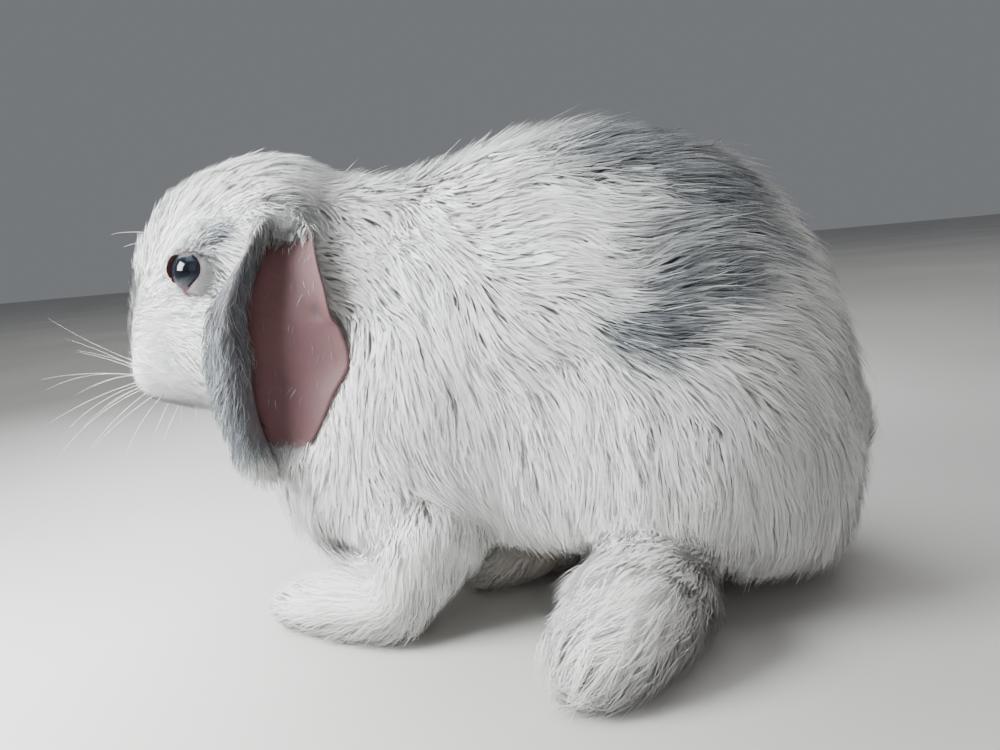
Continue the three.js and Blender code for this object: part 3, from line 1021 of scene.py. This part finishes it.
def scattered(surface, density, seed):
    """Roots spread over a surface, so many to a square millimetre: their faces and places in these."""
    draw = np.random.default_rng(seed)
    areas = lengths(face_vectors(surface.points, surface.faces)) / 2
    wanted = areas * surface.on_faces(density, np.arange(len(surface.faces)))
    index = np.repeat(np.arange(len(wanted)), np.floor(wanted + draw.random(len(wanted))).astype(int))
    shares = draw.random((len(index), 2))
    shares[shares.sum(axis=1) > 1] = 1 - shares[shares.sum(axis=1) > 1]
    return index, np.column_stack([shares, 1 - shares.sum(axis=1)])


def clumped(roots, share, seed):
    """For each root the nearest of a thinned set of roots and its number, and how many these are."""
    draw = np.random.default_rng(seed)
    leads = roots[draw.random(len(roots)) < share]
    tree = KDTree(len(leads))
    for i, lead in enumerate(leads.tolist()):
        tree.insert(lead, i)
    tree.balance()
    found = np.array([tree.find(root)[1] for root in roots.tolist()])
    return leads[found], found, len(leads)


def tuft_habits(draw, look, clump, clumps, depth, full, ragged):
    """How far each tuft turns off the lie, how much of the coat's depth it rises, and how long it is."""
    count = len(clump)
    clump_turn = draw.normal(0, 0.28, clumps) * look["wild"]
    clump_rise = draw.normal(1, 0.07, clumps)
    turn = clump_turn[clump] + draw.normal(0, 0.16, count) * look["wild"]
    rise = mixed(*look["rise"], draw.random(count) ** 0.7) * clump_rise[clump]
    length = depth * look["reach"] * draw.uniform(0.8, 1.15, count) * (1 + 0.6 * ragged)
    stray = draw.random(count) < look["stray"] * (1 + 9 * ragged)
    rise = np.where(stray, rise * draw.uniform(1.1, 1.35, count), rise) * full
    rise = rise * (1 + 0.6 * ragged * draw.random(count) ** 2)
    return turn + draw.normal(0, 0.15, count) * ragged, rise, length


def tuft_paths(surface, density, look):
    """Where each tuft runs, from root to tip, its root on the surface, and the way it faces.

    Each is traced along the skin and lifted off it. One that is free runs straight from its root.
    """
    draw = np.random.default_rng(look["seed"])
    spots = scattered(surface, density, look["seed"])
    index = spots[0]
    roots = surface.at_roots(surface.points, spots)
    lead, clump, clumps = clumped(roots, look["clump"], look["seed"] + 1)
    names = ("depth", "full", "ragged", "free")
    depth, full, ragged, free = (surface.at_roots(surface.values[name], spots) for name in names)
    turn, rise, length = tuft_habits(draw, look, clump, clumps, depth, full, ragged)
    free = free > 0.5
    sound = np.ones(len(roots), bool)
    place, straight = roots, roots
    step = (length / look["rings"])[:, None]
    path = [roots - surface.on_faces(surface.normals, index) * ROOT_SUNK]
    first_normal = surface.normal(index)
    for k in range(look["rings"]):
        s = (k + 1) / look["rings"]
        normal = surface.normal(index)
        way = turned(surface.value("lie", index), normal, turn)
        first_way = way if k == 0 else first_way
        straight = straight + mixed(way, first_way, 0.5) * step
        place, index = nearest_on(surface.tree, place + way * step)
        normal = surface.normal(index)
        sound = sound & (((normal * first_normal).sum(axis=1) > MOST_TURN) | free)
        normal = np.where(free[:, None], first_normal, normal)
        depth = surface.value("depth", index)
        off_skin = np.where(free, 1, (look["loose"] + 0.5 * ragged) * s)
        height = depth * rise * (1 - (1 - s) ** 2)
        point = mixed(place, straight, off_skin[:, None]) + normal * height[:, None]
        point += along_surface(lead - roots, normal) * (look["pull"] * s**1.5)
        point += draw.normal(0, 0.05, point.shape) * (depth * s * look["wild"])[:, None]
        path.append(point)
        facing = unit((normal if k == 0 else facing) + normal)
    return np.stack(path, axis=1)[sound], roots[sound], facing[sound]


def tuft_template(rings):
    """Faces of one closed three-sided tuft, with where each corner lies in its patch of the map."""
    faces, corners = [(0, 1, 2)], [((0, 0), (1, 0), (0.5, 0.9))]
    for k in range(rings - 1):
        for j in range(3):
            a, b = 3 * k + j, 3 * k + (j + 1) % 3
            faces += [(b, a, b + 3), (b + 3, a, a + 3)]
            low, high = k + 1, k + 2
            corners += [((j + 1, low), (j, low), (j + 1, high)), ((j + 1, high), (j, low), (j, high))]
    for j in range(3):
        faces.append((3 * (rings - 1) + (j + 1) % 3, 3 * (rings - 1) + j, 3 * rings))
        corners.append(((j + 1, rings), (j, rings), (j + 0.5, rings + 1)))
    flat = np.array(corners, float).reshape(-1, 2)
    flat[:3, 0] *= 3
    return np.array(faces), flat / (3, rings + 1) - 0.5


def tuft_points(path, widths, flatness, facing):
    """Rings of three points round each path and its tip, with soft normals."""
    rings = path.shape[1] - 1
    parts, normals = [], []
    for k in range(rings):
        tangent = unit(path[:, k + 1] - path[:, max(k - 1, 0)])
        side = unit(np.cross(tangent, facing))
        up = np.cross(side, tangent)
        for j in range(3):
            angle = 2 * math.pi * j / 3 + math.pi / 6
            around = side * math.cos(angle) + up * (flatness * math.sin(angle))
            parts.append(path[:, k] + around * (0.5 * widths * RING_WIDTHS[k])[:, None])
            normals.append(unit(facing + 0.55 * flatness * side * math.cos(angle) + 0.2 * up))
    parts.append(path[:, rings])
    normals.append(unit(facing + 0.2 * up))
    return np.stack(parts, axis=1), np.stack(normals, axis=1)


def coat_objects(name, path, shape, values, places, material):
    """Joined tufts, in pieces of under PIECE_TRIANGLES, from the nose to the tail."""
    points, normals = tuft_points(path, *shape)
    count, per = points.shape[:2]
    rings = path.shape[1] - 1
    template, corners = tuft_template(rings)
    low = FLOOR_GAP + 0.3 * np.random.default_rng(count).random((count, per))
    points[..., 2] = np.maximum(points[..., 2], low)
    order = np.argsort(path[:, 0, 1], kind="stable")
    pieces = max(1, math.ceil(count * len(template) / PIECE_TRIANGLES))
    share = np.concatenate([np.repeat(np.arange(rings) / rings, 3), [1.0]])
    for number, chosen in enumerate(np.array_split(order, pieces)):
        faces = (template[None] + per * np.arange(len(chosen))[:, None, None]).reshape(-1, 3)
        own = points[chosen].reshape(-1, 3)
        thing = mesh_object(f"{name}_{number + 1}", own, faces, material)
        thing.data.normals_split_custom_set_from_vertices(normals[chosen].reshape(-1, 3))
        for key, value in values.items():
            add_values(thing, key, np.repeat(value[chosen], per))
        add_values(thing, "along", np.tile(share, len(chosen)))
        bake = thing.data.uv_layers.new(name="OFBake")
        spots = places[chosen][:, None] + corners[None] * PATCH_ON_MAP
        bake.data.foreach_set("uv", spots.astype(np.float32).ravel())
        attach(thing, "root")


def unwrapped(surface):
    """A coarse copy of a surface, unwrapped: its tree, points, faces and their corners on the map."""
    thing = mesh_object("unwrap", surface.points, surface.faces)
    step = thing.modifiers.new("coarser", "DECIMATE")
    step.ratio = min(1, UNWRAP_FACES / len(surface.faces))
    points, faces = arrays_after(thing)
    thing = mesh_object("unwrap", points, faces)
    bpy.context.view_layer.objects.active = thing
    thing.select_set(True)
    bpy.ops.object.mode_set(mode="EDIT")
    bpy.ops.mesh.select_all(action="SELECT")
    bpy.ops.uv.smart_project(angle_limit=math.radians(66), island_margin=0.004)
    bpy.ops.object.mode_set(mode="OBJECT")
    spots = np.empty(len(faces) * 6)
    thing.data.uv_layers.active.data.foreach_get("uv", spots)
    bpy.data.objects.remove(thing)
    return tree_of(points, faces), points, faces, spots.reshape(-1, 3, 2)


def map_places(roots, unwrap):
    """Where roots lie on the unwrap."""
    tree, points, faces, spots = unwrap
    place, index = nearest_on(tree, roots)
    a, b, c = (points[faces[index, k]] for k in range(3))
    whole = lengths(np.cross(b - a, c - a))
    first = lengths(np.cross(b - place, c - place)) / whole
    second = lengths(np.cross(place - a, c - a)) / whole
    share = np.clip(np.stack([first, second, 1 - first - second], axis=1), 0, 1)
    share /= share.sum(axis=1, keepdims=True)
    return np.einsum("ijk,ij->ik", spots[index], share)


def free_of_ears(path, ears):
    """Which tufts don't run into an ear, along their bends or straight from root to tip."""
    free = np.ones(len(path), bool)
    spans = [(k, k + 1) for k in range(path.shape[1] - 1)] + [(0, -1)]
    for ear in ears.values():
        low, high = ear.points.min(axis=0) - EAR_MARGIN, ear.points.max(axis=0) + EAR_MARGIN
        near = np.flatnonzero(((path[:, -1] > low) & (path[:, -1] < high)).all(axis=1))
        for i in near:
            for start, end in spans:
                way = path[i, end] - path[i, start]
                reach = np.linalg.norm(way) * 1.05
                if ear.tree.ray_cast(path[i, start].tolist(), way.tolist(), reach)[0]:
                    free[i] = False
    return free


def tuft_greys(path, surface, index, draw):
    """How grey each tuft is: on an ear as at its root, else by the markings part of the way to its tip."""
    seen = mixed(path[:, 0], path[:, -1], 0.6) + draw.normal(0, 2.6, (len(path), 3))
    if "grey" in surface.values:
        grey = surface.value("grey", index)
        return np.clip(grey + draw.normal(0, 0.17, len(grey)) * (grey > 0.04), 0, 1)
    grey = greyness(seen)
    grey = np.clip(grey + draw.normal(0, 0.13, len(grey)) * (grey > 0.04), 0, 1)
    return grey * np.where(draw.random(len(grey)) < 0.08, 0.3, 1.0)


def grow(kind, surface, density, unwrap, ears, material):
    """One kind of coat on a surface, without the tufts that would run into one of the ears given."""
    look = LOOKS[kind]
    path, roots, facing = tuft_paths(surface, density, look)
    free = free_of_ears(path, ears)
    path, roots, facing = path[free], roots[free], facing[free]
    index = nearest_on(surface.tree, roots)[1]
    draw = np.random.default_rng(look["seed"] + 5)
    values = {"grey": tuft_greys(path, surface, index, draw)}
    values["shade"] = draw.random(len(path))
    values["soil_and_shade"] = soil_and_painted_shade(roots)
    size = (surface.value("depth", index) / DEEPEST) ** 0.5
    widths = look["width"] * size * draw.uniform(0.7, 1.25, len(path))
    shape = (widths, look["flatness"], facing)
    coat_objects("coat_" + kind, path, shape, values, map_places(roots, unwrap), material)


def grow_coat(skin, ears, material):
    unwrap = unwrapped(skin)
    depth = skin.values["depth"]
    for kind, (low, high, per_mm, power, quick_share) in GROWN.items():
        thicker = (DEEPEST / np.maximum(depth, SHALLOWEST)) ** power
        density = np.where((depth >= low) & (depth < high), per_mm * thicker, 0.0)
        density *= (1 - skin.values["bare"]) * 1.0
        grow(kind, skin, density, unwrap, ears, material)
    for side, ear in ears.items():
        density = ear.values["dense"] * 1.0
        grow("ear_" + side, ear, density, unwrapped(ear), {}, material)


# Materials
WHITE_ROOT = (0.92, 0.915, 0.905)
WHITE_TIP = (0.945, 0.945, 0.94)
WHITE_END = (0.95, 0.95, 0.95)
GREY_ROOT = (0.1, 0.109, 0.124)
GREY_TIP = (0.155, 0.174, 0.197)
GREY_END = (0.27, 0.288, 0.31)
# brown for stains, and for painted shade low on the body
SOIL_AND_SHADE_BROWN = (0.36, 0.25, 0.175)
BARE_PINK = (0.19, 0.089, 0.086)
BARE_LOW = (0.155, 0.074, 0.077)
# dark bare skin: the lids' own rims, and painted shade in the ears' hollows
BARE_DARK_AND_SHADE = (0.07, 0.038, 0.045)


class Finish:
    """A node material; each method adds a node and gives the socket that comes out of it."""

    def __init__(self, name):
        self.material = bpy.data.materials.new(name)
        self.material.use_nodes = True
        self.nodes = self.material.node_tree.nodes
        self.shader = self.nodes["Principled BSDF"]

    def put(self, value, socket):
        """Links a socket to a socket, or sets a constant on it."""
        if hasattr(value, "links"):
            self.material.node_tree.links.new(value, socket)
        else:
            socket.default_value = value

    def attribute(self, name):
        node = self.nodes.new("ShaderNodeAttribute")
        node.attribute_name = name
        return node.outputs["Fac"]

    def mix(self, share, a, b, kind="MIX"):
        node = self.nodes.new("ShaderNodeMix")
        node.data_type = "RGBA"
        node.blend_type = kind
        for number, value in ((0, share), (6, a), (7, b)):
            self.put(value, node.inputs[number])
        return node.outputs[2]

    def ramp(self, source, *stops):
        node = self.nodes.new("ShaderNodeValToRGB")
        self.put(source, node.inputs["Fac"])
        ramp = node.color_ramp
        while len(ramp.elements) < len(stops):
            ramp.elements.new(0.5)
        for element, (place, colour) in zip(ramp.elements, stops):
            element.position = place
            element.color = (*colour, 1)
        return node.outputs["Color"]

    def noise(self, scale, detail=3.0):
        place = self.nodes.new("ShaderNodeTexCoord")
        node = self.nodes.new("ShaderNodeTexNoise")
        node.inputs["Scale"].default_value = scale
        node.inputs["Detail"].default_value = detail
        self.put(place.outputs["Object"], node.inputs["Vector"])
        return node.outputs["Fac"]

    def bump(self, height, strength, distance):
        node = self.nodes.new("ShaderNodeBump")
        node.inputs["Strength"].default_value = strength
        node.inputs["Distance"].default_value = distance
        self.put(height, node.inputs["Height"])
        return node.outputs["Normal"]

    def done(self, settings):
        """The material, with these values or sockets at its shader's sockets."""
        for name, value in settings.items():
            self.put(value, self.shader.inputs[name])
        return self.material


def coat_material():
    """White or blue-grey hair, paler towards the tips, varying from tuft to tuft, browner where stained
    and with painted shade low down.
    """
    finish = Finish("coat_hair")
    along = finish.attribute("along")
    white = finish.ramp(along, (0.0, WHITE_ROOT), (0.6, WHITE_TIP), (1.0, WHITE_END))
    grey = finish.ramp(along, (0.0, GREY_ROOT), (0.7, GREY_TIP), (1.0, GREY_END))
    colour = finish.mix(finish.attribute("grey"), white, grey)
    # brown stains, and painted shade low on the body
    colour = finish.mix(finish.attribute("soil_and_shade"), colour, (*SOIL_AND_SHADE_BROWN, 1))
    shade = finish.ramp(finish.attribute("shade"), (0.0, (0.95,) * 3), (1.0, (1.0,) * 3))
    colour = finish.mix(1.0, colour, shade, "MULTIPLY")
    cloud = finish.ramp(finish.noise(60, 1), (0.3, (0.97, 0.965, 0.955)), (0.7, (1, 1, 1)))
    colour = finish.mix(1.0, colour, cloud, "MULTIPLY")
    return finish.done({"Base Color": colour, "Roughness": 0.62, "Specular IOR Level": 0.25})


def skin_material():
    """Down in the coat's colours, and bare pink skin in the ears and at the lids and nose; darker at the
    lids' rims and with painted shade in the ears' hollows, browner with stains and painted shade low down.
    """
    finish = Finish("skin")
    down = finish.mix(finish.attribute("grey"), (*WHITE_ROOT, 1), (*GREY_ROOT, 1))
    bare = finish.ramp(finish.noise(45), (0.25, BARE_LOW), (0.75, BARE_PINK))
    # darker bare skin: the lids' own rims, and painted shade in the ears' hollows
    bare = finish.mix(finish.attribute("dark"), bare, (*BARE_DARK_AND_SHADE, 1))
    colour = finish.mix(finish.attribute("bare"), down, bare)
    # brown stains, and painted shade low on the body
    colour = finish.mix(finish.attribute("soil_and_shade"), colour, (*SOIL_AND_SHADE_BROWN, 1))
    settings = {"Base Color": colour, "Roughness": 0.6, "Specular IOR Level": 0.25}
    settings |= {"Subsurface Weight": 0.04, "Subsurface Scale": 0.002}
    settings["Subsurface Radius"] = (1.0, 0.35, 0.25)
    settings["Normal"] = finish.bump(finish.noise(900, 5), 0.35, 0.0004)
    return finish.done(settings)


def eye_material():
    """A dark pupil in a slate-blue iris with a darker rim, under a clear wet surface."""
    finish = Finish("eye")
    pupil = [(0.0, (0.002, 0.003, 0.005)), (0.4, (0.004, 0.006, 0.009))]
    iris = [(0.5, (0.008, 0.012, 0.019)), (0.66, (0.013, 0.02, 0.031))]
    rim = [(0.78, (0.007, 0.01, 0.014)), (0.86, (0.01, 0.01, 0.012))]
    colour = finish.ramp(finish.attribute("from_middle"), *pupil, *iris, *rim)
    streak = finish.ramp(finish.noise(700, 4), (0.3, (0.65,) * 3), (0.7, (1.25,) * 3))
    colour = finish.mix(1.0, colour, streak, "MULTIPLY")
    settings = {"Base Color": colour, "Roughness": 0.12, "Specular IOR Level": 0.2}
    return finish.done(settings | {"Coat Weight": 0.4, "Coat Roughness": 0.03})


def plain_material(name, colour, roughness, scale, depth):
    """One colour with faint clouds and a fine grain, so many metres deep."""
    finish = Finish(name)
    light = tuple(min(1, c * 1.06) for c in colour)
    dark = tuple(c * 0.9 for c in colour)
    cloud = finish.ramp(finish.noise(scale), (0.3, dark), (0.7, light))
    grain = finish.bump(finish.noise(scale * 4), 0.2, depth)
    return finish.done({"Base Color": cloud, "Roughness": roughness, "Normal": grain})


# Whiskers and claws
WHISKER_LENGTH = (30, 50)
WHISKER_ROWS = 4
WHISKER_WIDTH = 0.27
BROW_WHISKERS = [((17, -131, 164), 22), ((20, -128, 160), 18)]
CHIN_WHISKERS = [(6, -140, 92), (9, -134, 92)]
CLAW_LENGTH = 6.5
CLAW_WIDTH = 2.0
CLAW_FLOOR = 0.9  # the least height of a claw's middle line


def tube(path, width, sides=5):
    """A closed tapered tube along a path."""
    tangent = unit(np.gradient(path, axis=0))
    side = unit(np.cross(tangent, (0.13, 0.2, 0.97)))
    up = np.cross(side, tangent)
    s = np.linspace(0, 1, len(path))
    radius = 0.5 * width * (1 - s) ** 0.7 + 0.02
    angle = angles_round(sides)
    ring = np.cos(angle)[None, :, None] * side[:, None] + np.sin(angle)[None, :, None] * up[:, None]
    grid = path[:, None] + ring * radius[:, None, None]
    points = np.concatenate([path[:1], grid.reshape(-1, 3), path[-1:] + tangent[-1] * 0.1])
    return points, outward(points, loft_faces(len(path), sides))


def whisker_plans(draw):
    """Each whisker of the left side: its root in the plan, its way, its droop and its length."""
    for row in range(WHISKER_ROWS):
        for column in range(WHISKER_ROWS):
            root = (13 + 1.5 * row, -146 + 3.2 * column - row, 101 + 3.2 * row)
            length = draw.uniform(*WHISKER_LENGTH)
            way = (0.86, -0.42 + 0.06 * draw.normal(), -0.34 + 0.28 * row + 0.07 * draw.normal())
            yield root, way, (-0.04, 0.1, -0.14 + 0.05 * draw.normal()), length
    for root, length in BROW_WHISKERS:
        yield root, (0.5, -0.85, 0.03 * (root[2] - 155)), (0, 0.16, -0.2), length
    for root in CHIN_WHISKERS:
        yield root, (0.5, -0.35, -0.8), (0, 0, -0.05), 18


def whiskers_object(skin, material):
    draw = np.random.default_rng(77)
    s = np.linspace(0, 1, 14)[:, None]
    meshes = []
    for mirror in SIDES.values():
        flip = (mirror, 1, 1)
        for root, way, droop, length in whisker_plans(draw):
            start = nearest_on(skin.tree, at(*np.multiply(root, flip))[None])[0][0]
            path = start + length * s * unit(np.multiply(way, flip))
            path = path + np.multiply(droop, flip) * length * s**2
            meshes.append(tube(path, WHISKER_WIDTH))
    thing = mesh_object("whiskers", *joined(meshes), material)
    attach(thing, "root")


def claws_object(skin, material):
    s = np.linspace(0, 1, 9)[:, None]
    meshes = []
    for end, towards, half, _ in FEET.values():
        ahead, side = foot_ways(towards)
        for toe in range(TOES):
            offset = (toe - (TOES - 1) / 2) * 2 * half / TOES
            root = at(*end) - ahead * (4 + 0.09 * offset**2) + side * offset
            root = nearest_on(skin.tree, root[None])[0][0]
            path = root + CLAW_LENGTH * s * ahead - ahead * 1.5 + np.array([0, 0, -2.2]) * s**2
            path[:, 2] = np.maximum(path[:, 2], CLAW_FLOOR)
            meshes.append(tube(path, CLAW_WIDTH, 8))
    thing = mesh_object("claws", *joined(meshes), material)
    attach(thing, "root")


# Floor, light and camera
FLOOR_HALF = 9000.0
SENSOR = 36.0
LENS_IN_WIDTHS = 722 / 1000  # the lens's length, in widths of the sensor
PITCH = math.radians(10)
ROLL = math.radians(5.14)
CAMERA_AT = (305, 0, 145)
# Name, place and aim in the plan, size in metres, power and colour.
LIGHTS = [
    ("key", (150, -335, 285), (20, -110, 130), 0.2, 5.9, (0.96, 1.0, 1.0)),
    ("fill", (1500, 300, 800), (0, 0, 90), 1.0, 2.2, (1.0, 0.93, 0.86)),
    ("rim", (-330, -180, 480), (0, -30, 140), 0.6, 4.5, (0.92, 0.97, 1.0)),
    ("top", (0, 0, 3000), (0, 0, 0), 2.5, 44, (1.0, 0.99, 0.97)),
]


def make_floor():
    material = plain_material("floor", (0.56, 0.55, 0.53), 0.8, 3, 0.0005)
    corners = FLOOR_HALF * np.array([(-1, -1, 0), (1, -1, 0), (1, 1, 0), (-1, 1, 0)])
    thing = mesh_object("floor", corners, np.array([(0, 1, 2), (0, 2, 3)]), material)


def make_lights():
    for name, place, aim, size, power, colour in LIGHTS:
        lamp = bpy.data.lights.new(name, "AREA")
        lamp.size = size
        lamp.energy = power
        lamp.color = colour
        thing = placed(name, lamp)
        thing.location = at(*place) * MM
        way = Vector(at(*aim) * MM) - thing.location
        thing.rotation_euler = way.to_track_quat("-Z", "Y").to_euler()
    world = bpy.data.worlds.new("studio")
    world.use_nodes = True
    sky = world.node_tree.nodes["Background"]
    sky.inputs["Color"].default_value = (0.9, 0.94, 1.0, 1)
    sky.inputs["Strength"].default_value = 0.2
    bpy.context.scene.world = world


def make_camera():
    lens = bpy.data.cameras.new("camera")
    lens.sensor_width = SENSOR
    lens.lens = LENS_IN_WIDTHS * SENSOR
    lens.clip_start = 0.01
    thing = placed("camera", lens)
    forward = np.array([-math.cos(PITCH), 0, -math.sin(PITCH)])
    level = np.array([-math.sin(PITCH), 0, math.cos(PITCH)])
    right = np.array([0.0, 1.0, 0.0])
    up = level * math.cos(ROLL) + right * math.sin(ROLL)
    right = right * math.cos(ROLL) - level * math.sin(ROLL)
    turn = np.eye(4)
    turn[:3, :3] = np.stack([right, up, -forward], axis=1)
    turn[:3, 3] = at(*CAMERA_AT) * MM
    thing.matrix_world = Matrix(turn.tolist())
    bpy.context.scene.camera = thing


# The model
def build():
    skin = make_skin(flesh_shell())
    ears = {side: ear_surface(side) for side in SIDES}
    skin_object(skin, ears, skin_material())
    for side in SIDES:
        eyeball = eye_object(side, eye_material())
        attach(eyeball, "root")
        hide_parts("eye_" + side)
    grow_coat(skin, ears, coat_material())
    whiskers_object(skin, plain_material("whisker", (0.85, 0.84, 0.82), 0.4, 200, 0.0001))
    claws_object(skin, plain_material("claw", (0.42, 0.36, 0.31), 0.35, 300, 0.0002))


build()
make_floor()
make_lights()
make_camera()
